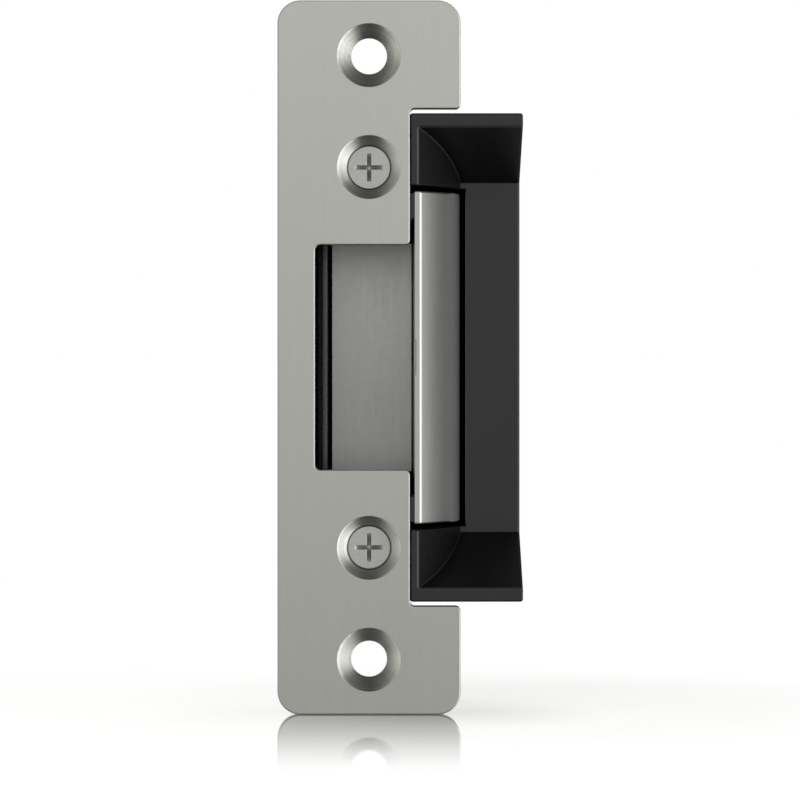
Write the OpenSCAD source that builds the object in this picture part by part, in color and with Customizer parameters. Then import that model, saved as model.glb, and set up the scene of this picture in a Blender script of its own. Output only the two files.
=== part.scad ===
// Electric door strike: flat faceplate, cast housing with a flush lip, a keeper
// that swings about a long hinge rod, and the solenoid release behind it.
// +X points to the lip side (right), +Y goes into the door jamb (back), +Z is up.
// The origin is the centre of the faceplate's back face.

/* [Faceplate] */
// Faceplate width
plate_w = 31.75; // [31.2:0.05:32.4]
// Faceplate height
plate_h = 123.8; // [122.5:0.1:125]
// Faceplate thickness
plate_t = 3; // [3:0.1:3]
// Radius of the faceplate's outer corners
plate_corner_r = 4; // [2:0.1:5]
// Distance between the two jamb screw holes
jamb_spacing = 104.775; // [104.5:0.005:105]
// Diameter of the jamb screw holes
jamb_hole_d = 6.25; // [5.5:0.05:6.6]
// Outer diameter of the countersinks
csk_d = 11.1; // [10.6:0.05:11.4]
// Distance between the two body screws
body_screw_spacing = 66; // [65.8:0.05:66.2]
// Height of the latch cut-out
latch_h = 39; // [38.6:0.1:39]
// Left edge of the latch cut-out
latch_x = -9.37; // [-9.6:0.01:-9.2]

/* [Lip] */
// Right edge of the narrow middle of the faceplate
notch_x = 7.1; // [7:0.05:7.1]
// Half height of the side notch in the faceplate
notch_z = 43.1; // [43:0.05:43.4]
// Outer edge of the housing lip
lip_x = 26.7; // [25:0.1:28]
// Half height of the housing
body_z = 42.35; // [42.2:0.05:42.5]
// Depth of the lip floor below the faceplate's front
lip_floor_d = 16; // [16:0.1:16]
// Half height where the end ramp meets the lip's front face
ramp_top_z = 40; // [39.6:0.1:40.4]
// Half height where the end ramp meets the lip floor
ramp_low_z = 30.9; // [30.7:0.1:31.2]

/* [Keeper] */
// Hinge rod position across the strike
pivot_x = -8.1; // [-8.15:0.01:-8.05]
// Hinge rod position into the jamb
pivot_y = 16.1; // [16.05:0.01:16.15]
// Hinge rod radius
rod_r = 1.75; // [1.7:0.01:1.75]
// Half height of the keeper
keeper_z = 28.85; // [28.6:0.05:28.9]
// Far edge of the keeper from the centre line
keeper_x = 16.05; // [15.8:0.05:16.4]
// Radius of the chamber the keeper swings in
chamber_r = 25.35; // [25.35:0.01:25.4]

/* [Release] */
// Position of the solenoid axis across the strike
sol_x = -6; // [-6.05:0.01:-5.95]
// Position of the solenoid axis into the jamb
sol_y = 25.8; // [25.78:0.01:25.82]
// Turns of the plunger's return spring
spring_turns = 4; // [3:1:5]

/* [Hidden] */
$fn = 64;
eps = 0.01;                    // small overlap
cut = 1;                       // how far a cut runs past its piece

// faceplate and lip
front_y = -plate_t;
jamb_screw_z = jamb_spacing / 2;
body_screw_z = body_screw_spacing / 2;
csk_r = csk_d / 2;
floor_y = front_y + lip_floor_d;
floor_back_y = floor_y + 2.5;  // back of the lip floor

// housing
body_y = 31.5;                 // back of the housing
cover_y = 33;                  // back of the cover
left_x = -14.8;                // left face of the housing
right_x = 19;                  // right face of the housing behind the lip
body_corner_r = 1.5;
cav_x = -13.3;                 // inner face of the left wall
chamber_z = 29.9;              // half height of the keeper chamber
part_y = [18, 19.2];           // partition behind the hinge rod
set_screw_z = 36;
cover_screws_at = [for (x = [-11.1, 15.3], z = [39, -39]) [x, z]];
board_screws_at = [for (x = [-5.6, 11]) [x, 38.2]];

// keeper
pivot = [pivot_x, pivot_y];
arm_z = 24.1;                  // inner face of the keeper arms

// solenoid and lever
sol = [sol_x, sol_y];
sol_screws_at = [for (z = [0, 14]) [-2, z]];
lever_z = -18;
lever_pivot = [-10.6, lever_z];
lever_y = [24.8, 26.8];

// ---------------------------------------------------------------- helpers
// A span is [low, high] along one axis.
function around(centre, half) = [centre - half, centre + half];
function inset(span, d) = [span[0] + d, span[1] - d];
function size(span) = span[1] - span[0];

// solids from spans; "at" is the place in the two other axes
module box(x, y, z) translate([x[0], y[0], z[0]]) cube([size(x), size(y), size(z)]);
module x_cyl(r, x, at) translate([x[0], at[0], at[1]]) rotate([0, 90, 0])
  cylinder(r = r, h = size(x));
module y_cone(r0, r1, y, at) translate([at[0], y[0], at[1]]) rotate([-90, 0, 0])
  cylinder(r1 = r0, r2 = r1, h = size(y));
module y_cyl(r, y, at) translate([at[0], y[0], at[1]]) rotate([-90, 0, 0])
  cylinder(r = r, h = size(y));
module z_cone(r0, r1, z, at) translate([at[0], at[1], z[0]])
  cylinder(r1 = r0, r2 = r1, h = size(z));
module z_cyl(r, z, at) translate([at[0], at[1], z[0]]) cylinder(r = r, h = size(z));

// outlines in the two other axes, extruded over a span
module x_slab(x) translate([x[0], 0, 0]) rotate([90, 0, 90])
  linear_extrude(height = size(x)) children();
module y_slab(y) translate([0, y[1], 0]) rotate([90, 0, 0])
  linear_extrude(height = size(y)) children();
module z_slab(z) translate([0, 0, z[0]]) linear_extrude(height = size(z)) children();

module both_z() {
  children();
  mirror([0, 0, 1]) children();
}

// 2D: small piece between a corner and its rounding circle; the circle
// lies on the + side of the corner along each axis that isn't flipped
module nick(x, z, flip_x, flip_z, r)
  translate([x, z]) mirror([flip_x, 0]) mirror([0, flip_z]) difference() {
    translate([-eps, -eps]) square(r + eps);
    translate([r, r]) circle(r = r);
  }
module nick_pair(x, z, flip_x, flip_z, r)
  for (side = [0, 1]) mirror([0, side]) nick(x, z, flip_x, flip_z, r);
module corner_nicks(x, z, r)
  for (i = [0, 1], j = [0, 1]) nick(x[i], z[j], i, j, r);
module rect(x, z) translate([x[0], z[0]]) square([size(x), size(z)]);
module rounded_rect(x, z, r) difference() {
  rect(x, z);
  corner_nicks(x, z, r);
}

// cross-shaped screw recess, before its ends are sloped
module cross(half_length, half_width, y, at) {
  box(around(at[0], half_length), y, around(at[1], half_width));
  box(around(at[0], half_width), y, around(at[1], half_length));
}

// stations of a helix about Z: [wire centre, outward direction], 18 degrees apart
function helix(mean_r, sweep, pitch) = let (n = round(sweep / 18))
  [for (i = [0 : n]) let (a = sweep * i / n, c = cos(a), s = sin(a))
    [[mean_r * c, mean_r * s, pitch * a / 360], [c, s]]];

// round wire swept through stations
module wire(stations, wire_r) {
  sides = 8;
  last = len(stations) - 1;
  points = [for (q = stations, j = [0 : sides - 1])
    let (b = 360 * j / sides, out = cos(b))
    q[0] + wire_r * [out * q[1][0], out * q[1][1], sin(b)]];
  side_faces = [for (i = [0 : last - 1], j = [0 : sides - 1])
    let (k = (j + 1) % sides)
    [i * sides + j, i * sides + k, (i + 1) * sides + k, (i + 1) * sides + j]];
  start_cap = [for (j = [sides - 1 : -1 : 0]) j];
  end_cap = [for (j = [0 : sides - 1]) last * sides + j];
  polyhedron(points = points, faces = concat(side_faces, [start_cap, end_cap]),
    convexity = 6);
}

// ---------------------------------------------------------------- faceplate
cutout_corner_r = 0.9;

module plate_outline() {
  half_w = plate_w / 2;
  half_h = plate_h / 2;
  latch_z = latch_h / 2;
  difference() {
    union() {
      difference() {
        rect(around(0, half_w), around(0, half_h));
        rect([notch_x, notch_x + plate_w], around(0, notch_z));
      }
      nick_pair(notch_x, notch_z, 0, 1, 0.8);
    }
    difference() {
      rect([latch_x, latch_x + plate_w], around(0, latch_z));
      nick_pair(latch_x, latch_z, 0, 1, cutout_corner_r);
    }
    corner_nicks(around(0, half_w), around(0, half_h), plate_corner_r);
    nick_pair(half_w, notch_z, 1, 0, cutout_corner_r);
    nick_pair(notch_x, latch_z, 1, 0, cutout_corner_r);
  }
}
module countersunk_hole(r, z) {
  y_cyl(r, [front_y - cut, cut], [0, z]);
  y_cone(csk_r + eps, r, [front_y - eps, front_y + csk_r - r], [0, z]);
}
module faceplate() color([0.66, 0.66, 0.64]) difference() {
  y_slab([front_y, 0]) plate_outline();
  both_z() {
    countersunk_hole(jamb_hole_d / 2, jamb_screw_z);
    countersunk_hole(2.55, body_screw_z);
  }
}
module faceplate_screws() color([0.42, 0.42, 0.42]) {
  head_r = 3.76;
  shank_r = 2;
  head_y = front_y + csk_r - head_r - 0.03;  // head top, sunk in the countersink
  neck_y = head_y + head_r - shank_r;
  tip_y = [10.6, 11.2];
  at = [0, body_screw_z];
  both_z() difference() {
    union() {
      y_cone(head_r, shank_r, [head_y, neck_y], at);
      y_cyl(shank_r, [neck_y - eps, tip_y[0]], at);
      y_cone(shank_r, 1.5, [tip_y[0] - eps, tip_y[1]], at);
    }
    // cross recess with sloping ends
    intersection() {
      cross(2.6, 0.36, [head_y - cut, head_y + 2.3], at);
      y_cone(2.46, 0.3, [head_y - eps, head_y + 2.2], at);
    }
  }
}

// ------------------------------------------------------------------ housing
lip_left_x = notch_x + 0.05;

module ramp_pocket() { // open lip recess: sloped ends, flat floor, open right side
  slope = (ramp_top_z - ramp_low_z) / lip_floor_d;
  mouth_y = front_y - cut;
  mouth_z = ramp_top_z + slope * cut;
  x_slab([notch_x, notch_x + 30])
    polygon([[mouth_y, -mouth_z], [floor_y, -ramp_low_z],
             [floor_y, ramp_low_z], [mouth_y, mouth_z]]);
}
module end_walls() // convex wall beside each end of the keeper
  both_z() z_cyl(30.67, [chamber_z, body_z + cut], [-14.13, 17.76], $fn = 128);

module chamber() {
  y = [front_y - cut, body_y + cut];
  cut_z = around(0, chamber_z + cut);
  intersection() {
    box([cav_x, 30], y, around(0, chamber_z));
    union() {
      box([cav_x - cut, notch_x + 0.1], y, cut_z);
      z_cyl(chamber_r, cut_z, pivot, $fn = 128);
    }
  }
}
module housing_shell() difference() {
  union() {
    box([left_x, lip_left_x + eps], [0, body_y], around(0, body_z));
    box([lip_left_x, lip_x], [front_y, floor_back_y], around(0, body_z));
    box([notch_x, right_x], [floor_y, body_y], around(0, body_z));
  }
  difference() {
    ramp_pocket();
    end_walls();
  }
  // corners of the lip and of the body behind it
  y_slab([front_y - cut, floor_back_y + cut]) nick_pair(lip_x, body_z, 1, 1, 0.5);
  y_slab([front_y - cut, 0]) nick_pair(lip_left_x, body_z, 0, 1, 0.4);
  y_slab([-cut, cover_y]) nick_pair(left_x, body_z, 0, 1, body_corner_r);
  y_slab([floor_back_y, cover_y]) nick_pair(right_x, body_z, 1, 1, body_corner_r);
  chamber();
  // bays above and below the chamber, open to the back
  both_z() box([cav_x, 17.5], [part_y[1] - 0.2, body_y + cut],
    [chamber_z + 1.5, body_z - 1.5]);
}
module housing_inside() {
  // latch pocket: side walls and the partition behind it
  pocket_x = [cav_x - eps, 7];
  wall_z = [20.3, 21.4];
  both_z() box(pocket_x, [0, part_y[1]], wall_z);
  box(pocket_x, part_y, around(0, wall_z[1]));
  // gussets under the lip floor
  gusset_x = [right_x - 0.5, lip_x - 1.2];
  for (z = [-36.5, -12.5, 12.5, 36.5]) z_slab(around(z, 1))
    polygon([[gusset_x[0], floor_back_y - 0.5], [gusset_x[1], floor_back_y - 0.5],
             [gusset_x[1], floor_back_y], [right_x, 24], [gusset_x[0], 24]]);
  // lever pin boss and the back stop behind the lever's finger
  y_cyl(2.3, [part_y[1] - eps, lever_y[0] - 0.1], lever_pivot);
  box([cav_x - eps, 2.2], [lever_y[1] + 0.2, body_y - 0.1], [lever_z - 5.6, lever_z - 2.8]);
  // posts for the cover screws and the board
  post_y = part_y[1] - 0.3;
  for (at = cover_screws_at) y_cyl(2.3, [post_y, body_y], at);
  for (at = board_screws_at) y_cyl(1.8, [post_y, 27], at);
}
module housing() color([0.13, 0.13, 0.135]) difference() {
  union() {
    housing_shell();
    housing_inside();
  }
  z_cyl(rod_r + 0.03, around(0, body_z + cut), pivot);
  both_z() {
    y_cyl(2.02, [-eps, 12.5], [0, body_screw_z]);
    y_cone(2.62, 2.02, [-eps, 0.6], [0, body_screw_z]);
  }
  x_cyl(1.52, [left_x - cut, pivot_x], [pivot_y, set_screw_z]);
  for (at = sol_screws_at) y_cyl(1.4, inset(part_y, -cut), at);
  y_cyl(1.27, [part_y[0] + 0.5, lever_y[0]], lever_pivot);
  for (at = cover_screws_at) y_cyl(1.02, [24, body_y + cut], at);
  for (at = board_screws_at) y_cyl(0.82, [21, 28], at);
  // shallow panels cast into the left wall and round marks in the ends
  for (z = [[-38, -14], [-10, 10], [14, 32]])
    x_slab([left_x - cut, left_x + 0.5]) rounded_rect([4, 27.5], z, 2);
  both_z() for (x = [2, 12]) z_cyl(2.5, [body_z - 0.3, body_z + 0.7], [x, 24]);
  // passage for the coil leads
  box([-12.75, -10.1], [28.8, 30.4], [chamber_z - 1, chamber_z + 2]);
}
module pocket_plate() color([0.5, 0.5, 0.49]) {
  y = 13.5;
  free_x = 7.7;
  half_h = 20.22;
  sheet_t = 1;
  difference() {
    union() {
      box([-6.6, free_x], [y, y + sheet_t], around(0, half_h));
      both_z() box([-5.8, 6.2], [y, 17.95], [half_h - sheet_t, half_h]);
    }
    // lead-in on the free edge
    translate([free_x, y, 0]) rotate([0, 0, 45]) cube([0.3, 0.3, 50], center = true);
  }
}

module back_cover() color([0.12, 0.12, 0.12]) difference() {
  y_slab([body_y, cover_y]) difference() {
    rounded_rect([left_x, right_x], around(0, body_z), body_corner_r);
    rect([0.8, 8.2], [33, 39.4]);  // window for the power socket
  }
  for (at = cover_screws_at) {
    y_cyl(1.35, [body_y - cut, cover_y + cut], at);
    y_cone(1.35, 2.4 + eps, [cover_y - 1.05, cover_y + eps], at);
  }
  // shallow stiffening panel pressed in from outside
  y_slab([cover_y - 0.4, cover_y + cut])
    rounded_rect(inset([left_x, right_x], 4), around(0, 30), 3);
}
module cover_screws() color([0.55, 0.55, 0.56]) for (at = cover_screws_at) difference() {
  union() {
    y_cone(1.0, 2.3, [cover_y - 1.33, cover_y - 0.03], at);
    y_cyl(1.0, [25.5, cover_y - 1.3], at);
  }
  intersection() {
    cross(1.4, 0.25, around(cover_y, 1), at);
    y_cone(0.4, 1.4, [cover_y - 1, cover_y], at);
  }
}

// ------------------------------------------------------------ hinge and keeper
module hinge_rod() color([0.1, 0.1, 0.1]) {
  end_z = 41.4;
  z_cyl(rod_r, around(0, end_z), pivot);
  both_z() z_cone(rod_r, rod_r - 0.5, [end_z - eps, end_z - eps + 0.5], pivot);
}
module rod_set_screw() color([0.2, 0.2, 0.2]) difference() {
  at = [pivot_y, set_screw_z];
  x_cyl(1.5, [left_x + 0.4, pivot_x - rod_r - 0.02], at);
  x_cyl(0.87, [left_x, left_x + 2], at, $fn = 6);
}
module nose_section() { // curved outside, flat inside
  inner_x = 7.9;
  intersection() {
    rect([inner_x, 20], [front_y, pivot_y]);
    translate([-14.44, 17.15]) circle(r = 30.87, $fn = 128);
  }
}
module nose() intersection() {
  z_slab(around(0, keeper_z)) nose_section();
  // rounded far corners
  y_slab([front_y - cut, 20]) difference() {
    rect([0, keeper_x], around(0, keeper_z));
    nick_pair(keeper_x, keeper_z, 1, 1, 0.35);
  }
}
// arm outline: [x, y]
arm_points = [[-10.35, 12.6], [-2.6, 1.7], [8.4, 1.7],
  [15.2, pivot_y], [3, 20.6], [pivot_x, 20.25]];

module heel() difference() { // on the lower arm, stopped by the locking lever
  back_y = 23.9;
  box([-1.5, 3], [15, back_y], [-keeper_z, -arm_z]);
  translate([0, back_y, -arm_z]) rotate([45, 0, 0]) cube([20, 0.4, 0.4], center = true);
}
module keeper() color([0.62, 0.62, 0.6]) difference() {
  union() {
    nose();
    both_z() {
      z_slab([arm_z, keeper_z]) polygon(arm_points);
      z_cyl(4.2, [arm_z, keeper_z], pivot);
      // peg the spring leg pushes on
      z_cyl(0.55, [arm_z - 1.5, arm_z + eps], [-3.29, 11.82]);
    }
    heel();
  }
  both_z() z_cyl(2.6, [arm_z - cut, keeper_z + cut], pivot);
  // small relief in the middle of the inner edge
  box([7.8, 8.14], [front_y - cut, 4], around(0, 3));
  // hollow at the back of the nose
  box([10.4, 13.6], [7.5, pivot_y + cut], around(0, 20));
}
module keeper_bushings() color([0.72, 0.53, 0.28]) both_z() difference() {
  union() {
    z_cyl(2.58, [arm_z - 0.3, keeper_z], pivot);
    z_cyl(3.5, [arm_z - 0.5, arm_z - 0.02], pivot);
  }
  z_cyl(rod_r + 0.05, [arm_z - cut, keeper_z + cut], pivot);
}

// torsion spring: straight leg, coils about the hinge rod, straight leg
module keeper_spring() {
  mean_r = 2.6;
  sweep = 621.35;
  pitch = 0.76;
  start_leg = 6.6;
  end_leg = 5.9;
  c = cos(sweep);
  s = sin(sweep);
  start = [[mean_r, -start_leg, 0], [1, 0]];
  end = [[mean_r * c - end_leg * s, mean_r * s + end_leg * c, pitch * sweep / 360], [c, s]];
  translate([pivot_x, pivot_y, 21.85])
    wire(concat([start], helix(mean_r, sweep, pitch), [end]), wire_r = 0.33);
}
module keeper_spring_upper() color([0.6, 0.6, 0.58]) keeper_spring();
module keeper_spring_lower() color([0.6, 0.6, 0.58]) mirror([0, 0, 1]) keeper_spring();
module keeper_stop_pads() color([0.08, 0.08, 0.08])
  both_z() box([-2.4, 3.6], [0.02, 1.65], [24.5, 28.5]);

// ----------------------------------------------------------------- solenoid
frame_x = [-12.5, 0.5];
frame_y = [19.25, 31.1];
frame_z = [-5, 21];
frame_end_t = 1.5;
bobbin_z = inset(frame_z, frame_end_t + 0.05);
flange_t = 0.85;
clip_groove_z = [-11.9, -11.3];

module tube(inner_r, outer_r, z) difference() {
  z_cyl(outer_r, z, sol);
  z_cyl(inner_r, inset(z, -cut), sol);
}
module solenoid_frame() color([0.7, 0.7, 0.68]) difference() {
  union() {
    box(frame_x, [frame_y[0], 20.7], frame_z);
    box(frame_x, frame_y, [frame_z[0], frame_z[0] + frame_end_t]);
    box(frame_x, frame_y, [frame_z[1] - frame_end_t, frame_z[1]]);
  }
  z_cyl(2.7, [frame_z[0] - 1, frame_z[0] + 2], sol);
  z_cyl(2.06, [frame_z[1] - 2, frame_z[1] + 1], sol);
  // notch in the back left corner of the upper end
  box([-13, -9], [27.6, 32], [frame_z[1] - 2, frame_z[1] + 1]);
  for (at = sol_screws_at) y_cyl(1.27, [19, 21], at);
}
module solenoid_screws() color([0.62, 0.62, 0.62]) for (at = sol_screws_at) difference() {
  union() {
    y_cyl(2.1, [16.4, part_y[0] - 0.02], at);
    y_cyl(1.24, [part_y[0] - 0.1, 20.65], at);
  }
  box(around(at[0], 3), [16, 17.1], around(at[1], 0.3));
}
module bobbin() color([0.85, 0.84, 0.78]) difference() {
  union() {
    z_cyl(3.2, bobbin_z, sol);
    z_cyl(4.95, [bobbin_z[0], bobbin_z[0] + flange_t], sol);
    z_cyl(4.95, [bobbin_z[1] - flange_t, bobbin_z[1]], sol);
  }
  z_cyl(2.64, frame_z, sol);
}
module coil_winding() color([0.7, 0.33, 0.14])
  tube(3.23, 4.6, inset(bobbin_z, flange_t + 0.05));
module coil_tape() color([0.78, 0.6, 0.12]) tube(4.63, 4.78, inset(frame_z, 3));
module pole_core() color([0.6, 0.6, 0.6]) {
  top_z = frame_z[1];
  z_cyl(2.6, [13.1, bobbin_z[1]], sol);
  z_cyl(2.03, [top_z - 1.6, top_z + 0.1], sol);
  z_cone(3.2, 2.4, [top_z + 0.02, top_z + 0.92], sol);
}
module plunger() color([0.66, 0.66, 0.68]) {
  r = 2.5;
  top_z = 8.6;
  difference() {
    union() {
      z_cyl(r, [-20.6, top_z], sol);
      z_cone(r, 1.6, [top_z - eps, top_z - eps + 0.9], sol);
    }
    // slot for the lever, hole for the link pin, groove for the clip
    box(around(sol_x, 3), inset(lever_y, -0.15), [-22, -12.4]);
    y_cyl(1.02, [20, 30], [sol_x, lever_z]);
    tube(2.1, 3, clip_groove_z);
  }
}
module plunger_clip() color([0.3, 0.3, 0.32]) difference() {
  cut_z = [-12, -11];
  z_cyl(3.4, inset(clip_groove_z, 0.05), sol);
  z_cyl(2.13, cut_z, sol);
  box(around(sol_x, 1.2), [sol_y, sol_y + 5], cut_z);
}
module plunger_spring() color([0.6, 0.6, 0.58]) {
  length = 5.85;
  translate([sol_x, sol_y, -11.1])
    wire(helix(2.95, 360 * spring_turns, length / spring_turns), wire_r = 0.2);
}
module link_pin() color([0.5, 0.5, 0.5]) y_cyl(1.0, [22.9, 28.7], [sol_x, lever_z]);

// -------------------------------------------------------------------- lever
// outlines: [x, z from the lever's pivot height]
lever_arm = [[lever_pivot[0], -2.2], [1.5, -2.2], [1.5, 0.2],
  [-0.5, 2.2], [lever_pivot[0], 2.2]];
lever_finger = [[-1.5, -2], [-1.5, -6.8], [-1.1, -7.2], [1.1, -7.2], [1.5, -6.8], [1.5, -2]];

module locking_lever() color([0.75, 0.7, 0.5])
  y_slab(lever_y) translate([0, lever_z]) difference() {
    union() {
      translate([lever_pivot[0], 0]) circle(r = 2.5);
      polygon(lever_arm);
      polygon(lever_finger);
    }
    translate([lever_pivot[0], 0]) circle(r = 1.3);
    // slot for the link pin
    slot_x = [-6.05, -4.85];
    slot_r = 1.22;
    for (x = slot_x) translate([x, 0]) circle(r = slot_r);
    rect(slot_x, around(0, slot_r));
  }
module lever_pin() color([0.55, 0.55, 0.55]) difference() {
  y_cyl(1.25, [part_y[0] + 0.6, 27.9], lever_pivot);
  // groove for the clip
  difference() {
    y_cyl(2, [26.95, 27.45], lever_pivot);
    y_cyl(1.0, [26.9, 27.5], lever_pivot);
  }
}
module lever_clip() color([0.3, 0.3, 0.32]) difference() {
  y_cyl(2.1, [26.98, 27.42], lever_pivot);
  y_cyl(1.03, [26, 28], lever_pivot);
  box(around(lever_pivot[0], 0.6), [26, 28], [lever_z, lever_z + 3]);
}

// --------------------------------------------------------------- electronics
board_y = [27.02, 28];
diode_y = 25.4;
lead_r = 0.3;                  // leads of the diode and varistor
lead_z = 34.2;
pins_x = [3, 6];
pins_z = 36.2;
// board outline: [x, z]
board_points = [[-12.9, 31.8], [12.5, 31.8], [12.5, 40.4],
  [-8.3, 40.4], [-8.3, 36.2], [-12.9, 36.2]];

module circuit_board() color([0.1, 0.35, 0.16]) y_slab(board_y) difference() {
  polygon(board_points);
  for (at = board_screws_at) translate(at) circle(r = 1.05);
  for (x = pins_x) translate([x, pins_z]) square([0.8, 0.8], center = true);
}
module board_screws() color([0.62, 0.62, 0.62]) for (at = board_screws_at) difference() {
  union() {
    y_cyl(0.8, [22, 28.1], at);
    y_cyl(1.7, [28.02, 29.2], at);
  }
  box(around(at[0], 2), [28.7, 30], around(at[1], 0.2));
}
module board_diode() color([0.1, 0.1, 0.1]) {
  x_cyl(1.3, [-3, 1.6], [diode_y, lead_z]);
  x_cyl(lead_r, [-4.6, 3.2], [diode_y, lead_z]);
  for (x = [-4.4, 3]) y_cyl(lead_r, [25.1, 27], [x, lead_z]);
}
module board_varistor() color([0.1, 0.25, 0.5]) {
  x_cyl(3, [7.2, 9.2], [23, 35.6]);
  for (z = [lead_z, 37]) y_cyl(lead_r, [24, 27], [8.2, z]);
}
module power_socket() color([0.82, 0.8, 0.72]) difference() {
  box([1, 8], [28.02, 32.9], [33.2, 39.2]);
  box([1.7, 7.3], [29.2, 34], [33.9, 38.5]);
  for (x = pins_x) translate([x, 29, pins_z]) cube([0.8, 4, 0.8], center = true);
  box([3.2, 5.8], [30.4, 34], [38, 40]);  // gap in the upper wall
}
module socket_pins() color([0.8, 0.66, 0.3])
  for (x = pins_x) translate([x, 29.4, pins_z]) cube([0.7, 5.4, 0.7], center = true);

// each lead runs out from the coil, up, then forward to the board
module coil_leads() color([0.55, 0.08, 0.07]) for (i = [0, 1]) {
  r = 0.45;
  x = -11.95 + 1.1 * i;
  y = 29.6;
  low_z = 16.5 - 2 * i;
  top_z = 34.6 - 1.6 * i;
  to_coil = sol - [x, y];
  z_cyl(r, [low_z, top_z], [x, y]);
  for (z = [low_z, top_z]) translate([x, y, z]) sphere(r = r);
  y_cyl(r, [28.04, y], [x, top_z]);
  translate([x, y, low_z]) rotate([0, 90, atan2(to_coil[1], to_coil[0])])
    cylinder(r = r, h = norm(to_coil) - 4.95);
}

faceplate();
faceplate_screws();
housing();
pocket_plate();
back_cover();
cover_screws();
hinge_rod();
rod_set_screw();
keeper_spring_upper();
keeper_spring_lower();
keeper_stop_pads();
solenoid_frame();
bobbin();
coil_winding();
coil_tape();
pole_core();
solenoid_screws();
lever_pin();
lever_clip();
plunger_spring();
circuit_board();
board_screws();
board_diode();
board_varistor();
power_socket();
socket_pins();
coil_leads();
keeper();
keeper_bushings();
locking_lever();
plunger();
plunger_clip();
link_pin();
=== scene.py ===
import bpy, bmesh, math
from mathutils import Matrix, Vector


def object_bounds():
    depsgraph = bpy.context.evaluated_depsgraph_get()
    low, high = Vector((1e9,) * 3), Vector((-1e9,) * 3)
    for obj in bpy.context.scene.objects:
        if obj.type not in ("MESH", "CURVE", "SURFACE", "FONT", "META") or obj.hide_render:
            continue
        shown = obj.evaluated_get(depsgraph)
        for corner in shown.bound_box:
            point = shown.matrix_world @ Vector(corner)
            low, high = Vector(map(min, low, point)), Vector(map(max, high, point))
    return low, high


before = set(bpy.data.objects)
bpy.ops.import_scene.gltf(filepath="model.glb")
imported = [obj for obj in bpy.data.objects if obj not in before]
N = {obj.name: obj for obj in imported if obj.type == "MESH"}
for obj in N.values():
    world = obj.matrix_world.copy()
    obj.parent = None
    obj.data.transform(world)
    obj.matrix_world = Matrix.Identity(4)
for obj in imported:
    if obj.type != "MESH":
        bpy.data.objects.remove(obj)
box_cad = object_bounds()
MM = 0.001

# ------------------------------------------------------------------ node helpers
class Graph:
    """Short way to write a shader graph."""
    def __init__(self, tree):
        self.t = tree
        self.t.nodes.clear()

    def n(self, kind, inputs=None, **props):
        node = self.t.nodes.new(kind)
        for k, v in props.items():
            setattr(node, k, v)
        for k, v in (inputs or {}).items():
            self.put(node, k, v)
        return node

    def put(self, node, key, v):
        sock = node.inputs[key]
        if hasattr(v, "outputs"):
            v = v.outputs[0]
        if isinstance(v, bpy.types.NodeSocket):
            self.t.links.new(v, sock)
        else:
            sock.default_value = v

    def math(self, op, a, b=None, c=None, clamp=False):
        node = self.t.nodes.new("ShaderNodeMath")
        node.operation = op
        node.use_clamp = clamp
        for i, v in enumerate((a, b, c)):
            if v is not None:
                self.put(node, i, v)
        return node.outputs[0]

    def vmath(self, op, a, b=None, scale=None):
        node = self.t.nodes.new("ShaderNodeVectorMath")
        node.operation = op
        self.put(node, 0, a)
        if b is not None:
            self.put(node, 1, b)
        if scale is not None:
            self.put(node, 3, scale)
        return node.outputs["Value"] if op in ("DOT_PRODUCT", "LENGTH") else node.outputs[0]

    def mix(self, fac, a, b):
        node = self.t.nodes.new("ShaderNodeMix")
        node.data_type = "RGBA"
        self.put(node, 0, fac)
        self.put(node, 6, a)
        self.put(node, 7, b)
        return node.outputs[2]

    def fmix(self, fac, a, b):
        node = self.t.nodes.new("ShaderNodeMix")
        node.data_type = "FLOAT"
        self.put(node, 0, fac)
        self.put(node, 2, a)
        self.put(node, 3, b)
        return node.outputs[0]

    def vmix(self, fac, a, b):
        node = self.t.nodes.new("ShaderNodeMix")
        node.data_type = "VECTOR"
        self.put(node, 0, fac)
        self.put(node, 4, a)
        self.put(node, 5, b)
        return node.outputs[1]

    def ramp(self, v, lo, hi, out_lo=0.0, out_hi=1.0, smooth=True):
        node = self.t.nodes.new("ShaderNodeMapRange")
        node.interpolation_type = "SMOOTHSTEP" if smooth else "LINEAR"
        for k, x in ((0, v), (1, lo), (2, hi), (3, out_lo), (4, out_hi)):
            self.put(node, k, x)
        return node.outputs[0]

    def coords(self, scale=(1, 1, 1)):
        tc = self.t.nodes.new("ShaderNodeTexCoord")
        mp = self.t.nodes.new("ShaderNodeMapping")
        mp.inputs["Scale"].default_value = scale
        self.t.links.new(tc.outputs["Object"], mp.inputs["Vector"])
        return mp.outputs[0]

    def noise(self, vec, scale=1.0, detail=3.0, rough=0.55, dist=0.0):
        node = self.n("ShaderNodeTexNoise", {"Scale": scale, "Detail": detail, "Roughness": rough, "Distortion": dist})
        self.put(node, "Vector", vec)
        return node.outputs["Fac"]

    def xyz(self, vec):
        node = self.n("ShaderNodeSeparateXYZ")
        self.put(node, 0, vec)
        return node.outputs[0], node.outputs[1], node.outputs[2]

    def join(self, x, y, z):
        node = self.n("ShaderNodeCombineXYZ")
        for i, v in enumerate((x, y, z)):
            self.put(node, i, v)
        return node.outputs[0]

    def curve(self, v, points):
        """A smooth curve through (position, value) points, both from 0 to 1."""
        node = self.n("ShaderNodeFloatCurve")
        c = node.mapping.curves[0]
        while len(c.points) > 2:
            c.points.remove(c.points[1])
        c.points[0].location = points[0]
        c.points[1].location = points[-1]
        for p in points[1:-1]:
            c.points.new(*p)
        node.mapping.update()
        self.put(node, "Value", v)
        return node.outputs[0]

    def bump(self, height, strength, dist, normal=None):
        node = self.n("ShaderNodeBump", {"Strength": strength, "Distance": dist})
        self.put(node, "Height", height)
        if normal is not None:
            self.put(node, "Normal", normal)
        return node.outputs[0]


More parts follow.
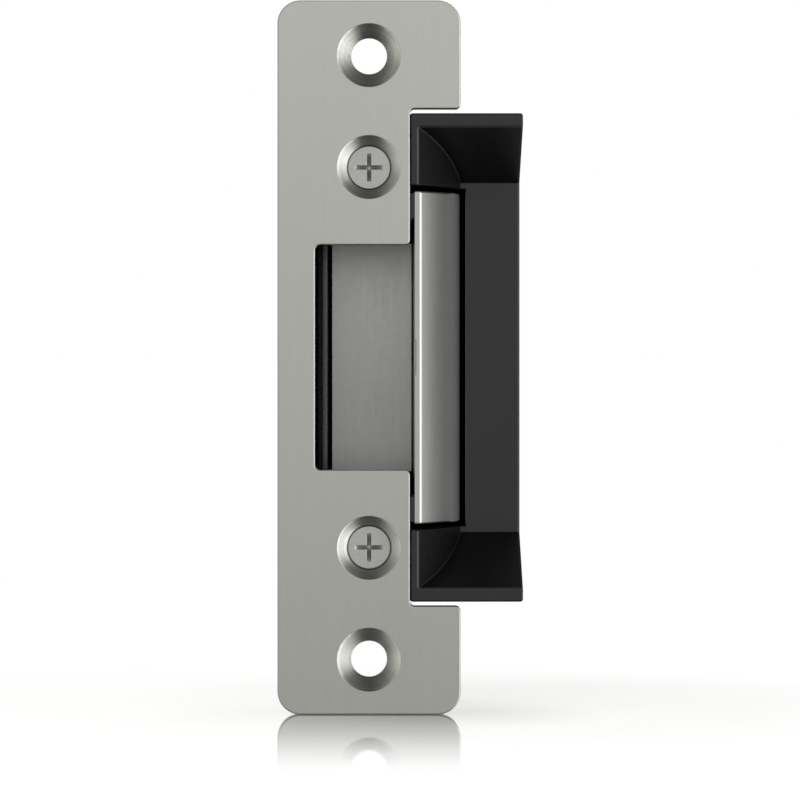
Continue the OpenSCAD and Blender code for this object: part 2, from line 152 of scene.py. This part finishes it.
def material(name):
    m = bpy.data.materials.new(name)
    m.use_nodes = True
    g = Graph(m.node_tree)
    out = g.n("ShaderNodeOutputMaterial")
    bsdf = g.n("ShaderNodeBsdfPrincipled")
    m.node_tree.links.new(bsdf.outputs[0], out.inputs[0])
    return m, g, bsdf


def rgb(r, g, b):
    """sRGB 0-255 to linear."""
    f = lambda v: v / 255 / 12.92 if v <= 10 else ((v / 255 + 0.055) / 1.055) ** 2.4
    return (f(r), f(g), f(b), 1.0)


# ---------------------------------------------------------------------- metals
# painted light and shade of a countersink by clock angle: 0 is up, + is towards the lip
CSK_PAINTED_LIGHT = [(-180, .37), (-150, .39), (-128, .63), (-108, .97), (-90, 1.04), (-60, 1.04), (-40, .92), (-24, .59), (-8, .38), (15, .37), (32, .6),
         (50, .88), (70, 1.0), (100, 1.0), (125, .82), (145, .49), (165, .38), (180, .37)]


def mat_plate():
    """Stainless plate: grain runs up and down, countersinks are turned."""
    m, g, b = material("plate_brushed")
    p = g.coords()
    x, y, z = g.xyz(p)
    az = g.math("ABSOLUTE", z)
    # which screw hole this point belongs to, and where it is around that hole
    zc = g.fmix(g.math("GREATER_THAN", az, 0.0427), 0.033, 0.0523875)
    dz = g.math("SUBTRACT", az, zc)
    dz = g.math("MULTIPLY", dz, g.math("SIGN", z))
    r = g.math("SQRT", g.math("ADD", g.math("MULTIPLY", x, x), g.math("MULTIPLY", dz, dz)))
    cone = g.math("MULTIPLY", g.math("LESS_THAN", r, 0.00553), g.math("GREATER_THAN", y, -0.00297))
    # long grain lines, in two widths
    fine = g.noise(g.coords((5200, 5200, 130)), 1, 3, 0.6)
    broad = g.noise(g.coords((900, 900, 22)), 1, 3, 0.6)
    cloud = g.noise(g.coords((26, 26, 14)), 1, 2, 0.5)
    # turned rings
    ring = g.noise(g.join(g.math("MULTIPLY", r, 5200), g.math("MULTIPLY", z, 25), 0), 1, 2, 0.6)
    grain = g.fmix(cone, g.math("ADD", g.math("MULTIPLY", fine, 0.7), g.math("MULTIPLY", broad, 0.3)), ring)
    tone = g.math("MULTIPLY", g.ramp(grain, 0.3, 0.7, -0.026, 0.026, False), g.fmix(cone, 1.0, 5.4))
    tone = g.math("ADD", tone, g.ramp(cloud, 0.3, 0.7, -0.012, 0.012, False))
    # painted light and shade: the turned cone is painted bright on its left and right sides and deep grey above and
    # below
    turn = g.math("MULTIPLY_ADD", g.math("ARCTAN2", x, dz), 0.5 / math.pi, 0.5)
    csk_painted_light = g.math("MULTIPLY", g.curve(turn, [((a + 180) / 360, v / 1.3) for a, v in CSK_PAINTED_LIGHT]), 1.3)
    # painted shade: the right side of the cone darkens towards the hole; painted light: the left side lightens a little
    # towards the hole
    right = g.ramp(g.math("MULTIPLY", x, 1.0), 0.0008, 0.003)
    csk_painted_light = g.math("MULTIPLY", csk_painted_light, g.fmix(right, 1.0, g.ramp(r, 0.0032, 0.0052, 0.5, 1.08)))
    left = g.ramp(g.math("MULTIPLY", x, -1.0), 0.0008, 0.003)
    csk_painted_light = g.math("MULTIPLY", csk_painted_light, g.fmix(left, 1.0, g.ramp(r, 0.0034, 0.0052, 1.13, 0.95)))
    # painted highlight: a bright line along the rim
    csk_painted_light = g.math("MULTIPLY", csk_painted_light, g.math("ADD", 1.0, g.math("MULTIPLY", g.ramp(r, 0.0052, 0.00535), g.fmix(left, g.math("MULTIPLY", right, 0.6), 0.5))))
    # painted shade: the gap round a seated screw head is darkened
    seat = g.math("LESS_THAN", az, 0.0427)
    csk_painted_light = g.math("MULTIPLY", csk_painted_light, g.fmix(seat, 1.0, g.ramp(r, 0.00372, 0.00405, 0.12, 1.0)))
    # painted light: the brushed face is painted a little brighter towards its upper end
    bright = g.fmix(cone, g.math("MULTIPLY_ADD", z, 1.1, 1.085), g.math("MULTIPLY", csk_painted_light, 1.28))
    # painted shade: sheared edges that face down are darkened
    nz = g.xyz(g.n("ShaderNodeNewGeometry").outputs["Normal"])[2]
    under = g.math("MULTIPLY", g.ramp(g.math("MULTIPLY", nz, -1.0), 0.2, 0.75), g.math("SUBTRACT", 1.0, cone))
    bright = g.math("MULTIPLY", bright, g.fmix(under, 1.0, 0.3))
    col = g.vmath("SCALE", g.join(0.648, 0.652, 0.612), scale=g.math("MULTIPLY", g.math("ADD", tone, 1.0), bright))
    g.put(b, "Base Color", col)
    g.put(b, "Metallic", 1.0)
    rough = g.ramp(grain, 0.25, 0.75, 0.33, 0.43, False)
    g.put(b, "Roughness", g.fmix(cone, rough, g.ramp(ring, 0.2, 0.8, 0.24, 0.34, False)))
    # highlights spread across the grain: sideways on the flats, down the slope in a countersink
    sz = g.math("MULTIPLY", dz, 1.0)
    tan = g.vmix(cone, g.join(1, 0, 0), g.vmath("NORMALIZE", g.join(x, g.math("MULTIPLY", r, -1.0), sz)))
    g.put(b, "Tangent", g.vmath("NORMALIZE", tan))
    g.put(b, "Anisotropic", g.fmix(cone, 0.5, 0.85))
    g.put(b, "Normal", g.bump(grain, g.fmix(cone, 0.12, 0.5), 0.00002))
    return m


def mat_steel(name, base, rough=(0.28, 0.38), aniso=0.5, grain=(3800, 3800, 90), tint=0.05, bump=0.1, tangent=(0, 0, 1), raw=None, painted_light_slope=0.0):
    """Ground or drawn steel with its grain along one direction."""
    m, g, b = material(name)
    fine = g.noise(g.coords(grain), 1, 3, 0.6)
    cloud = g.noise(g.coords((60, 60, 60)), 1, 3, 0.55)
    spot = g.noise(g.coords((900, 900, 900)), 1, 2, 0.6)
    tone = g.math("ADD", g.ramp(fine, 0.3, 0.7, -tint, tint, False), g.ramp(cloud, 0.3, 0.7, -tint * 0.6, tint * 0.6, False))
    tone = g.math("ADD", tone, 1.0)
    # painted light and shade: lighter towards the top, darker towards the bottom
    if painted_light_slope:
        tone = g.math("MULTIPLY", tone, g.math("MULTIPLY_ADD", g.xyz(g.coords())[2], painted_light_slope, 1.0))
    if raw:
        # painted shade: the arms behind the nose, where they show in the gap, are darkened
        x, y, z = g.xyz(g.coords())
        back = g.math("MULTIPLY", g.math("GREATER_THAN", g.math("ABSOLUTE", z), 0.0238), g.math("GREATER_THAN", y, 0.00165))
        tone = g.math("MULTIPLY", tone, g.fmix(g.math("MULTIPLY", back, g.math("LESS_THAN", x, 0.00845)), 1.0, raw))
        # painted light: a little brighter towards the far edge
        tone = g.math("MULTIPLY", tone, g.ramp(x, 0.013, 0.0156, 1.0, 1.35))
    col = g.vmath("SCALE", g.join(*base), scale=tone)
    g.put(b, "Base Color", col)
    g.put(b, "Metallic", 1.0)
    mixed = g.math("ADD", g.math("MULTIPLY", fine, 0.6), g.math("MULTIPLY", spot, 0.4))
    g.put(b, "Roughness", g.ramp(mixed, 0.3, 0.7, rough[0], rough[1], False))
    g.put(b, "Tangent", g.join(*tangent))
    g.put(b, "Anisotropic", aniso)
    g.put(b, "Normal", g.bump(mixed, bump, 0.00002))
    return m


def mat_screw():
    """Zinc screw, with painted shade down in the cross and round the head's edge, and a painted highlight at the
    cross's centre.
    """
    m, g, b = material("screw_zinc")
    x, y, z = g.xyz(g.coords())
    fine = g.noise(g.coords((2600, 2600, 2600)), 1, 4, 0.65)
    cloud = g.noise(g.coords((260, 260, 260)), 1, 3, 0.55)
    # painted shade down in the cross, with a painted highlight at its centre
    deep = g.ramp(y, -0.00118, -0.0006, 1.0, 0.65)
    hz = g.math("SUBTRACT", g.math("ABSOLUTE", z), 0.033)
    rim = g.math("SQRT", g.math("ADD", g.math("MULTIPLY", x, x), g.math("MULTIPLY", hz, hz)))
    deep = g.math("MULTIPLY", deep, g.ramp(rim, 0.0003, 0.0009, 1.35, 1.0))
    shank = g.math("MULTIPLY", g.math("GREATER_THAN", y, 0.0), g.math("GREATER_THAN", rim, 0.0014))
    deep = g.fmix(shank, deep, 1.0)
    # painted shade: the head's outer edge is darkened
    deep = g.math("MULTIPLY", deep, g.fmix(g.math("LESS_THAN", y, -0.0004), 1.0, g.ramp(rim, 0.0035, 0.00372, 1.0, 0.25)))
    tone = g.math("ADD", g.ramp(fine, 0.3, 0.7, 0.93, 1.07, False), g.ramp(cloud, 0.3, 0.7, -0.05, 0.05, False))
    g.put(b, "Base Color", g.vmath("SCALE", g.join(0.74, 0.74, 0.72), scale=g.math("MULTIPLY", tone, deep)))
    g.put(b, "Metallic", 1.0)
    g.put(b, "Roughness", g.ramp(fine, 0.3, 0.7, 0.34, 0.48, False))
    g.put(b, "Normal", g.bump(fine, 0.25, 0.00002))
    return m


def mat_black(name, base=(0.010, 0.010, 0.0103), rough=0.42, speck=0.5, scale=5200, spec=0.5, boss=False, bump=0.22):
    """Black coating on a casting: fine orange peel and a few brighter specks."""
    m, g, b = material(name)
    raw = 0.0
    if boss:
        # the round walls beside the keeper keep the grainy skin of the casting
        x, y, z = g.xyz(g.coords())
        ax, ay = g.math("ADD", x, 0.01413), g.math("ADD", y, -0.01776)
        rr = g.math("SQRT", g.math("ADD", g.math("MULTIPLY", ax, ax), g.math("MULTIPLY", ay, ay)))
        az = g.math("ABSOLUTE", z)
        on = g.math("LESS_THAN", g.math("ABSOLUTE", g.math("SUBTRACT", rr, 0.03067)), 0.00004)
        raw = g.math("MULTIPLY", on, g.math("GREATER_THAN", g.math("ABSOLUTE", z), 0.0298))
        raw = g.math("MULTIPLY", raw, g.ramp(y, -0.00285, -0.00265))
    peel = g.noise(g.coords((scale, scale, scale)), 1, 4, 0.62)
    big = g.noise(g.coords((420, 420, 420)), 1, 3, 0.5)
    cloud = g.noise(g.coords((45, 45, 45)), 1, 2, 0.5)
    dots = g.n("ShaderNodeTexVoronoi", {"Scale": 4200.0, "Randomness": 1.0})
    g.put(dots, "Vector", g.coords())
    dot = g.ramp(dots.outputs["Distance"], 0.0, g.fmix(raw, 0.22, 0.5) if boss else 0.22, 1.0, 0.0)
    if boss:
        speck = g.fmix(raw, speck, g.ramp(x, 0.0085, 0.0135, 7.0, 2.0))
    tone = g.math("ADD", g.ramp(cloud, 0.3, 0.7, 0.92, 1.08, False), g.math("MULTIPLY", dot, speck))
    if boss:
        tone = g.math("MULTIPLY", tone, g.fmix(raw, 1.0, 0.62))
        spec = g.fmix(raw, spec, 0.2)
        # painted shade: a dark line where the lip's outer front edges turn towards the faceplate, made by cutting the
        # sheen
        edge = g.math("MAXIMUM", g.math("LESS_THAN", x, 0.00738), g.math("GREATER_THAN", g.math("ABSOLUTE", z), 0.04212))
        edge = g.math("MULTIPLY", edge, g.math("LESS_THAN", y, -0.0025))
        spec = g.math("MULTIPLY", spec, g.fmix(edge, 1.0, 0.25))
        # painted shade: the sloping ends of the lip are darkened and given less sheen
        slope = g.math("MULTIPLY", g.math("GREATER_THAN", az, 0.0310), g.math("LESS_THAN", az, 0.0400))
        slope = g.math("MULTIPLY", slope, g.math("MULTIPLY", g.math("GREATER_THAN", y, -0.0027), g.math("LESS_THAN", y, 0.01285)))
        slope = g.math("MULTIPLY", slope, g.math("GREATER_THAN", rr, 0.03075))
        slope = g.math("MULTIPLY", slope, g.math("LESS_THAN", x, 0.0266))
        spec = g.math("MULTIPLY", spec, g.fmix(slope, 1.0, 0.3))
        tone = g.math("MULTIPLY", tone, g.fmix(slope, 1.0, 0.6))
        rough = g.fmix(raw, rough, 0.5)
    g.put(b, "Base Color", g.vmath("SCALE", g.join(*base), scale=tone))
    g.put(b, "Metallic", 0.0)
    g.put(b, "Specular IOR Level", spec)
    vary = g.ramp(g.math("ADD", g.math("MULTIPLY", peel, 0.6), g.math("MULTIPLY", big, 0.4)), 0.3, 0.7, -0.07, 0.09, False)
    g.put(b, "Roughness", g.math("ADD", vary, rough))
    h = g.math("ADD", g.math("MULTIPLY", peel, 0.7), g.math("MULTIPLY", big, 0.3))
    g.put(b, "Normal", g.bump(h, bump, 0.00003))
    return m


def mat_plastic(name, base, rough=0.4, spec=0.5, scale=2600, coat=0.0, tint=0.06):
    m, g, b = material(name)
    a = g.noise(g.coords((scale, scale, scale)), 1, 3, 0.6)
    c = g.noise(g.coords((120, 120, 120)), 1, 3, 0.5)
    tone = g.math("ADD", g.ramp(c, 0.3, 0.7, 1 - tint, 1 + tint, False), g.ramp(a, 0.3, 0.7, -tint * 0.4, tint * 0.4, False))
    g.put(b, "Base Color", g.vmath("SCALE", g.join(*base), scale=tone))
    g.put(b, "Roughness", g.ramp(a, 0.3, 0.7, rough - 0.05, rough + 0.07, False))
    g.put(b, "Specular IOR Level", spec)
    g.put(b, "Coat Weight", coat)
    g.put(b, "Coat Roughness", 0.15)
    g.put(b, "Normal", g.bump(a, 0.12, 0.00002))
    return m


def mat_wound(name, base):
    """Enamelled wire: rows of turns around the coil's axis."""
    m, g, b = material(name)
    x, y, z = g.xyz(g.coords())
    turns = g.math("SINE", g.math("MULTIPLY", z, 2 * math.pi / 0.00028))
    cloud = g.noise(g.coords((300, 300, 900)), 1, 3, 0.6)
    tone = g.math("ADD", g.ramp(turns, -1, 1, 0.72, 1.1, False), g.ramp(cloud, 0.3, 0.7, -0.1, 0.1, False))
    g.put(b, "Base Color", g.vmath("SCALE", g.join(*base), scale=tone))
    g.put(b, "Metallic", 0.85)
    g.put(b, "Roughness", 0.32)
    g.put(b, "Coat Weight", 0.4)
    g.put(b, "Normal", g.bump(turns, 0.5, 0.00006))
    return m


def mat_board():
    m, g, b = material("board_mask")
    x, y, z = g.xyz(g.coords())
    cell = g.n("ShaderNodeTexBrick", {"Scale": 330.0, "Mortar Size": 0.03, "Color1": (1, 1, 1, 1), "Color2": (0.86, 0.86, 0.86, 1), "Mortar": (0, 0, 0, 1)})
    g.put(cell, "Vector", g.join(x, z, 0))
    cloud = g.noise(g.coords((700, 700, 700)), 1, 3, 0.6)
    trace = g.math("GREATER_THAN", g.n("ShaderNodeRGBToBW", {"Color": cell.outputs[0]}).outputs[0], 0.5)
    col = g.mix(trace, (0.015, 0.085, 0.03, 1), (0.03, 0.19, 0.07, 1))
    col = g.vmath("SCALE", col, scale=g.ramp(cloud, 0.3, 0.7, 0.9, 1.1, False))
    g.put(b, "Base Color", col)
    g.put(b, "Roughness", 0.32)
    g.put(b, "Normal", g.bump(trace, 0.3, 0.00004))
    return m


M = {
    "plate": mat_plate(),
    "keeper": mat_steel("keeper_satin", (0.79, 0.79, 0.775), (0.35, 0.43), 0.3, (5200, 5200, 110), 0.03, 0.07, raw=0.2),
    "pocket": mat_steel("pocket_steel", (0.70, 0.70, 0.69), (0.42, 0.52), 0.3, (3000, 3000, 140), 0.025, 0.08, painted_light_slope=7.0),
    "head": mat_screw(),
    "screw": mat_steel("screw_plain", (0.62, 0.62, 0.60), (0.34, 0.46), 0.1, (2600, 2600, 2600), 0.07, 0.2),
    "zinc": mat_steel("zinc_plated", (0.62, 0.62, 0.59), (0.3, 0.45), 0.2, (1500, 1500, 700), 0.08, 0.2),
    "spring": mat_steel("spring_wire", (0.55, 0.55, 0.54), (0.2, 0.3), 0.3, (2000, 2000, 2000), 0.05, 0.1),
    "pin": mat_steel("pin_steel", (0.50, 0.50, 0.50), (0.18, 0.28), 0.3, (2500, 2500, 200), 0.04, 0.1),
    "bronze": mat_steel("sintered_bronze", (0.56, 0.38, 0.17), (0.38, 0.55), 0.0, (3200, 3200, 3200), 0.12, 0.4),
    "brass": mat_steel("pin_plating", (0.75, 0.60, 0.27), (0.18, 0.28), 0.2, (2500, 200, 2500), 0.05, 0.1),
    "rod": mat_black("rod_black_oxide", (0.004, 0.004, 0.004), 0.28, 0.0, 3000, 1.15, bump=0.05),
    "clip": mat_black("clip_black_oxide", (0.03, 0.03, 0.032), 0.36, 0.0, 3000, 0.7),
    "cast": mat_black("cast_black", (0.0068, 0.0068, 0.0071), rough=0.38, spec=0.86, boss=True),
    "cover": mat_black("cover_black", (0.009, 0.009, 0.0093), 0.46, 0.35, 3600),
    "rubber": mat_plastic("pad_rubber", (0.02, 0.02, 0.02), 0.75, 0.3, 1800),
    "nylon": mat_plastic("bobbin_nylon", (0.62, 0.6, 0.52), 0.42),
    "socket": mat_plastic("socket_nylon", (0.66, 0.64, 0.55), 0.38),
    "epoxy": mat_plastic("varistor_epoxy", (0.03, 0.09, 0.32), 0.22, 0.5, 900, 0.5),
    "diode": mat_plastic("diode_body", (0.02, 0.02, 0.02), 0.35),
    "tape": mat_plastic("coil_tape", (0.62, 0.4, 0.05), 0.16, 0.5, 700, 0.6, 0.1),
    "wire": mat_plastic("lead_red", (0.36, 0.02, 0.015), 0.35),
    "copper": mat_wound("coil_copper", (0.55, 0.2, 0.07)),
    "board": mat_board(),
}
USE = {
    "faceplate": "plate", "faceplate_screws": "head", "housing": "cast", "pocket_plate": "pocket",
    "back_cover": "cover", "cover_screws": "screw", "hinge_rod": "rod", "rod_set_screw": "clip",
    "keeper_spring_upper": "spring", "keeper_spring_lower": "spring", "keeper_stop_pads": "rubber",
    "solenoid_frame": "zinc", "bobbin": "nylon", "coil_winding": "copper", "coil_tape": "tape",
    "pole_core": "zinc", "solenoid_screws": "screw", "lever_pin": "pin", "lever_clip": "clip",
    "plunger_spring": "spring", "circuit_board": "board", "board_screws": "screw",
    "board_diode": "diode", "board_varistor": "epoxy", "power_socket": "socket",
    "socket_pins": "brass", "coil_leads": "wire", "keeper": "keeper", "keeper_bushings": "bronze",
    "locking_lever": "zinc", "plunger": "zinc", "plunger_clip": "clip", "link_pin": "pin",
}
for name, obj in N.items():
    for s in obj.material_slots:
        s.material = M[USE[name]]

# --------------------------------------------------------- edge rounding (mm)
def geo_group(name):
    t = bpy.data.node_groups.new(name, "GeometryNodeTree")
    t.interface.new_socket("Geometry", in_out="INPUT", socket_type="NodeSocketGeometry")
    t.interface.new_socket("Geometry", in_out="OUTPUT", socket_type="NodeSocketGeometry")
    g = Graph(t)
    return t, g, g.n("NodeGroupInput").outputs[0], g.n("NodeGroupOutput")


def edge_weights(name, angle, rules, inner):
    """Writes how much of the bevel each edge gets. A rule is (low corner, high corner, share), in mm;
    an edge whose middle is in that box gets that share of the width. Inside corners are
    filled only in the boxes listed under inner."""
    t, g, geo, out = geo_group(name + "_edges")
    # only outside corners: their signed angle is positive
    turn = g.n("GeometryNodeInputMeshEdgeAngle").outputs["Signed Angle"]
    w = g.math("GREATER_THAN", turn, math.radians(angle))
    pos = g.n("GeometryNodeInputPosition").outputs[0]
    for lo, hi, share in rules:
        d = g.vmath("MAXIMUM", g.vmath("SUBTRACT", tuple(v * MM for v in lo), pos), g.vmath("SUBTRACT", pos, tuple(v * MM for v in hi)))
        x, y, z = g.xyz(d)
        inside = g.math("LESS_THAN", g.math("MAXIMUM", g.math("MAXIMUM", x, y), z), 0.0)
        w = g.math("MULTIPLY", w, g.math("MULTIPLY_ADD", inside, share - 1.0, 1.0))
    for lo, hi, share in inner:
        d = g.vmath("MAXIMUM", g.vmath("SUBTRACT", tuple(v * MM for v in lo), pos), g.vmath("SUBTRACT", pos, tuple(v * MM for v in hi)))
        x, y, z = g.xyz(d)
        inside = g.math("LESS_THAN", g.math("MAXIMUM", g.math("MAXIMUM", x, y), z), 0.0)
        deep = g.math("MULTIPLY", inside, g.math("LESS_THAN", turn, math.radians(-angle * 0.5)))
        w = g.math("MAXIMUM", w, g.math("MULTIPLY", deep, share))
    st = g.n("GeometryNodeStoreNamedAttribute", {"Geometry": geo, "Name": "bevel_weight_edge"}, data_type="FLOAT", domain="EDGE")
    g.put(st, "Value", w)
    g.put(out, 0, st)
    return t


def smooth_group():
    """Smooth shading, split where two faces still meet at a clear angle."""
    t, g, geo, out = geo_group("smooth_faces")
    s1 = g.n("GeometryNodeSetShadeSmooth", {"Geometry": geo}, domain="FACE")
    soft = g.math("LESS_THAN", g.n("GeometryNodeInputMeshEdgeAngle").outputs[0], math.radians(38))
    s2 = g.n("GeometryNodeSetShadeSmooth", {"Geometry": s1, "Shade Smooth": soft}, domain="EDGE")
    g.put(out, 0, s2)
    return t


smooth_faces = smooth_group()


def soften(name, width, segments=4, angle=32, rules=(), inner=()):
    """Rounds a CAD node's edges with modifiers only; its mesh stays as it is."""
    o = N[name]
    w = o.modifiers.new("weld", "WELD")
    w.merge_threshold = 1e-6
    d = o.modifiers.new("planar", "DECIMATE")
    d.decimate_type = "DISSOLVE"
    d.angle_limit = math.radians(0.5)
    e = o.modifiers.new("weights", "NODES")
    e.node_group = edge_weights(name, angle, rules, inner)
    b = o.modifiers.new("edges", "BEVEL")
    b.width = width * MM
    b.segments = segments
    b.limit_method = "WEIGHT"
    b.use_clamp_overlap = False
    b.miter_outer = "MITER_ARC"
    s = o.modifiers.new("smooth", "NODES")
    s.node_group = smooth_faces
    n = o.modifiers.new("normals", "WEIGHTED_NORMAL")
    n.keep_sharp = True
    n.weight = 80
    n.thresh = 0.01


BIG = 999
holes = [((-6.2, -BIG, z - 6.2), (6.2, BIG, z + 6.2), 0.18) for z in (-52.39, -33, 33, 52.39)]
soften("faceplate", 0.26, rules=holes)
# the housing's inside edges stay sharp: they are hidden
soften("housing", 0.28, rules=[((-14.5, -0.5, -42), (7.08, 31.8, 42), 0.0), ((6.9, 15.6, -42), (18.8, 31.8, 42), 0.0), ((-BIG, 31.2, -BIG), (BIG, 31.8, BIG), 0.0),
                               ((-BIG, -0.2, -BIG), (7.08, 0.2, BIG), 0.0), ((26.2, -2.9, -39.9), (27.2, 13.3, 39.9), 1.4)],
       inner=[((8.5, -2.9, z - 5.2), (16.6, 12.9, z + 5.2), 0.8) for z in (-35.4, 35.4)])
# the inner front edge of the keeper is nearly sharp, its far edge is sharp, its nose edge is rounded
soften("keeper", 0.38, rules=[((7.85, -3.1, -BIG), (8.2, 17, BIG), 0.25), ((14.2, 3, -BIG), (16.3, 17, BIG), 0.0)])
soften("faceplate_screws", 0.06, 3)
soften("pocket_plate", 0.1, 3)
soften("back_cover", 0.25, rules=[((x - 2.6, -BIG, z - 2.6), (x + 2.6, BIG, z + 2.6), 0.0) for x in (-11.1, 15.3) for z in (-39, 39)])
soften("cover_screws", 0.04, 2)
soften("power_socket", 0.12, 3)
soften("rod_set_screw", 0.1, 3)
soften("hinge_rod", 0.06, 2)
soften("solenoid_frame", 0.15, 3)
soften("locking_lever", 0.12, 3)
soften("circuit_board", 0.05, 2)
soften("keeper_stop_pads", 0.2, 3)

# -------------------------------------------------------------- floor, light
lo, hi = box_cad
floor_z = lo.z


def make_floor():
    bm = bmesh.new()
    n = 48
    size = 6.0
    # a disc of rings: fine near the object, coarse far away
    rings = [0.0] + [0.02 * (size / 0.02) ** (i / 14) for i in range(15)]
    verts = []
    centre = bm.verts.new((0, 0, floor_z))
    for r in rings[1:]:
        verts.append([bm.verts.new((r * math.cos(2 * math.pi * k / n), r * math.sin(2 * math.pi * k / n), floor_z)) for k in range(n)])
    for k in range(n):
        bm.faces.new((centre, verts[0][k], verts[0][(k + 1) % n]))
        for i in range(len(verts) - 1):
            bm.faces.new((verts[i][k], verts[i + 1][k], verts[i + 1][(k + 1) % n], verts[i][(k + 1) % n]))
    me = bpy.data.meshes.new("floor")
    bm.to_mesh(me)
    bm.free()
    o = bpy.data.objects.new("floor", me)
    bpy.context.collection.objects.link(o)
    return o


floor = make_floor()
fm = bpy.data.materials.new("floor_pale")
fm.use_nodes = True
g = Graph(fm.node_tree)
out = g.n("ShaderNodeOutputMaterial")
geo = g.n("ShaderNodeNewGeometry")
x, y, z = g.xyz(geo.outputs["Position"])
# how far this point is from the object's footprint
dx = g.math("MAXIMUM", g.math("SUBTRACT", g.math("ABSOLUTE", x), 0.016), 0.0)
dy = g.math("MAXIMUM", g.math("SUBTRACT", g.math("ABSOLUTE", g.math("ADD", y, 0.0015)), 0.0015), 0.0)
far = g.math("SQRT", g.math("ADD", g.math("MULTIPLY", dx, dx), g.math("MULTIPLY", dy, dy)))
gloss = g.ramp(far, 0.0, 0.105, 0.92, 0.0)
# like any polished board it mirrors at a grazing look and is plain from above
look = g.xyz(geo.outputs["Incoming"])[2]
gloss = g.math("MULTIPLY", gloss, g.ramp(look, 0.12, 0.24, 1.0, 0.12))
away = g.ramp(far, 0.12, 0.4)
speck = g.noise(geo.outputs["Position"], 40, 3, 0.5)
diff = g.n("ShaderNodeBsdfDiffuse", {"Color": g.mix(speck, (0.83, 0.83, 0.83, 1), (0.86, 0.86, 0.86, 1))})
# painted shadow: the floor's sheen is darkened close under the object, more so on its right
near = g.ramp(far, 0.0, 0.03, g.ramp(x, -0.01, 0.01, 0.94, 0.83), 1.0)
glo = g.n("ShaderNodeBsdfGlossy", {"Color": g.join(near, near, near), "Roughness": 0.04})
pale = g.n("ShaderNodeEmission", {"Color": (1, 1, 1, 1), "Strength": 1.0})
base = g.n("ShaderNodeMixShader", {0: away, 1: diff, 2: pale})
mixs = g.n("ShaderNodeMixShader", {0: gloss, 1: base, 2: glo})
# nothing hides the object when it is looked at from below
mixs = g.n("ShaderNodeMixShader", {0: geo.outputs["Backfacing"], 1: mixs, 2: g.n("ShaderNodeBsdfTransparent")})
g.put(out, 0, mixs)
floor.data.materials.append(fm)
floor.visible_glossy = False
floor.visible_diffuse = False
floor.visible_transmission = False

world = bpy.data.worlds.new("studio")
bpy.context.scene.world = world
world.use_nodes = True
g = Graph(world.node_tree)
out = g.n("ShaderNodeOutputWorld")
tc = g.n("ShaderNodeTexCoord")
d = g.vmath("NORMALIZE", tc.outputs["Generated"])
x, y, z = g.xyz(d)


# brightness around the horizon: 0 is behind the camera, + is the lip side
AROUND = [(-180, .45), (-150, .4), (-120, .28), (-95, .36), (-70, .5), (-35, .62), (0, .66), (22, .72), (36, 1.3), (48, 2.2), (66, 2.2),
          (80, 1.3), (93, .8), (105, .31), (120, .12), (150, .46), (180, .5)]
TOP = 2.4
phi = g.math("ARCTAN2", x, g.math("MULTIPLY", y, -1.0))
ring = g.curve(g.math("MULTIPLY_ADD", phi, 0.5 / math.pi, 0.5), [((a + 180) / 360, v / TOP) for a, v in AROUND])
ring = g.math("MULTIPLY", ring, TOP)
elev = g.math("ARCSINE", z)
# the front light hangs a little above the camera, the side light a little below
side = g.ramp(g.math("ABSOLUTE", phi), math.radians(30), math.radians(60))
mid = g.fmix(side, math.radians(12), math.radians(-14))
tall = g.math("COSINE", g.math("MINIMUM", g.math("MULTIPLY", g.math("ABSOLUTE", g.math("SUBTRACT", elev, mid)), g.fmix(side, 1.6, 1.15)), math.pi / 2))
tall = g.math("POWER", g.math("MAXIMUM", tall, 0.0), 3.2)
env = g.math("MULTIPLY_ADD", ring, tall, 0.018)
# soft fill from high above and from the pale table below
high = g.math("ABSOLUTE", elev)
fill = g.math("MULTIPLY", g.ramp(high, math.radians(24), math.radians(55), 0.0, 0.34), g.ramp(high, math.radians(60), math.radians(85), 1.0, 0.25))
env = g.math("ADD", env, fill)
# the pale sweep behind the object, as the floor's sheen sees it
env = g.math("MAXIMUM", env, g.ramp(y, 0.955, 0.985, 0.0, 1.0))
lp = g.n("ShaderNodeLightPath")
bg_obj = g.n("ShaderNodeBackground", {"Color": g.join(env, env, g.math("MULTIPLY", env, 0.985)), "Strength": 1.0})
bg_cam = g.n("ShaderNodeBackground", {"Color": (1, 1, 1, 1), "Strength": 1.0})
g.put(out, 0, g.n("ShaderNodeMixShader", {0: lp.outputs["Is Camera Ray"], 1: bg_obj, 2: bg_cam}))


def sky(name, towards, angle, strength):
    """A wide soft light that falls on the floor only, the same everywhere."""
    ld = bpy.data.lights.new(name, "SUN")
    ld.energy = strength
    ld.angle = math.radians(angle)
    o = bpy.data.objects.new(name, ld)
    o.rotation_mode = "QUATERNION"
    o.rotation_quaternion = Vector(towards).to_track_quat("Z", "Y")
    bpy.context.collection.objects.link(o)
    c = bpy.data.collections.new("floor_light_only")
    c.objects.link(floor)
    o.light_linking.receiver_collection = c
    return o


sky("floor_light", (-0.2, -0.05, 1.0), 58, 2.82)

# ------------------------------------------------------------------- camera
cam_data = bpy.data.cameras.new("camera")
cam_data.sensor_width = 36
cam_data.lens = 176.07
cam_data.shift_x = 30.95 / 800
cam_data.shift_y = -42.5 / 800
cam_data.clip_start = 0.01
cam_data.clip_end = 50
cam = bpy.data.objects.new("camera", cam_data)
cam.location = (0, -0.681, 0)
cam.rotation_euler = (math.radians(90), 0, 0)
bpy.context.collection.objects.link(cam)
bpy.context.scene.camera = cam
bpy.context.scene.view_settings.view_transform = "Standard"
bpy.context.scene.view_settings.look = "None"
